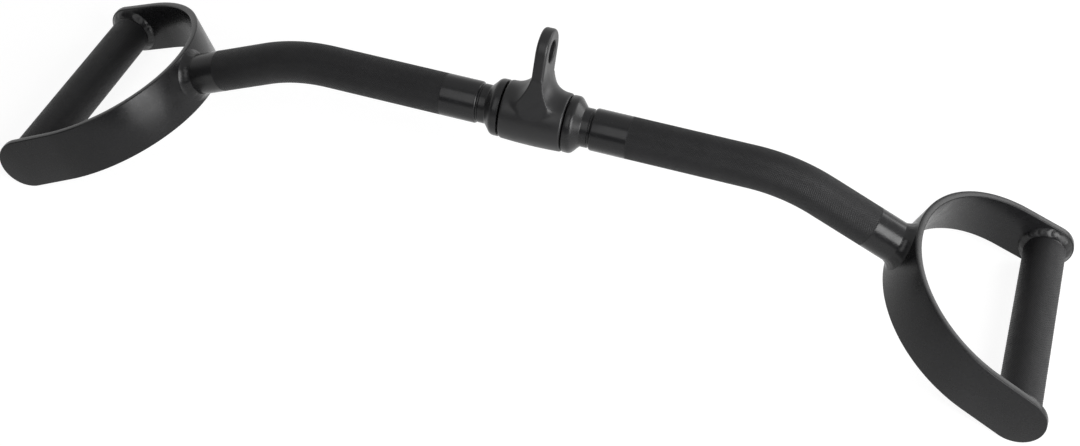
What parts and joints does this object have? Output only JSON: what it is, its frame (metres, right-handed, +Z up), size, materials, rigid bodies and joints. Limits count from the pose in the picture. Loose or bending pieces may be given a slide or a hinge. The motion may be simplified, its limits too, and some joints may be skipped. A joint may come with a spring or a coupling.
{
  "type": "lat pulldown bar",
  "caption": "Lat pulldown bar with turned-down arms, D-shaped neutral grips and a swivelling centre hanger with an eye for a snap hook.",
  "frame": {"origin": "on the surface that the bar stands on, under the bar's centre", "axes": "+X along the bar, +Y along the grips, away from the viewer of the front, +Z up"},
  "size_m": [0.7638, 0.1818, 0.1644],
  "materials": {
    "enamelled_steel": "black powder coat, finely knurled where it is held, smooth elsewhere",
    "enamelled_casting": "smooth black powder coat over a steel casting",
    "enamelled_weld": "black powder coat over a weld bead",
    "bush_plastic": "moulded black bearing plastic",
    "bright_steel": "ground bright steel shaft"
  },
  "bodies": {
    "bar": {"spindle": "bright_steel", "right_end_fitting": "enamelled_steel", "left_end_fitting": "enamelled_steel", "right_arm": "enamelled_steel", "left_arm": "enamelled_steel", "right_root_weld": "enamelled_weld", "left_root_weld": "enamelled_weld", "right_strap": "enamelled_steel", "left_strap": "enamelled_steel", "right_strap_weld": "enamelled_weld", "left_strap_weld": "enamelled_weld", "right_grip": "enamelled_steel", "left_grip": "enamelled_steel", "right_rear_grip_weld": "enamelled_weld", "right_front_grip_weld": "enamelled_weld", "left_rear_grip_weld": "enamelled_weld", "left_front_grip_weld": "enamelled_weld"},
    "hanger": {"hanger": "enamelled_casting", "right_bush": "bush_plastic", "left_bush": "bush_plastic"}
  },
  "joints": [
    {"name": "hanger_swivel", "type": "hinge", "parent": "bar", "child": "hanger", "pos_m": [0, 0, 0.1033], "axis": [1, 0, 0], "continuous": true}
  ]
}
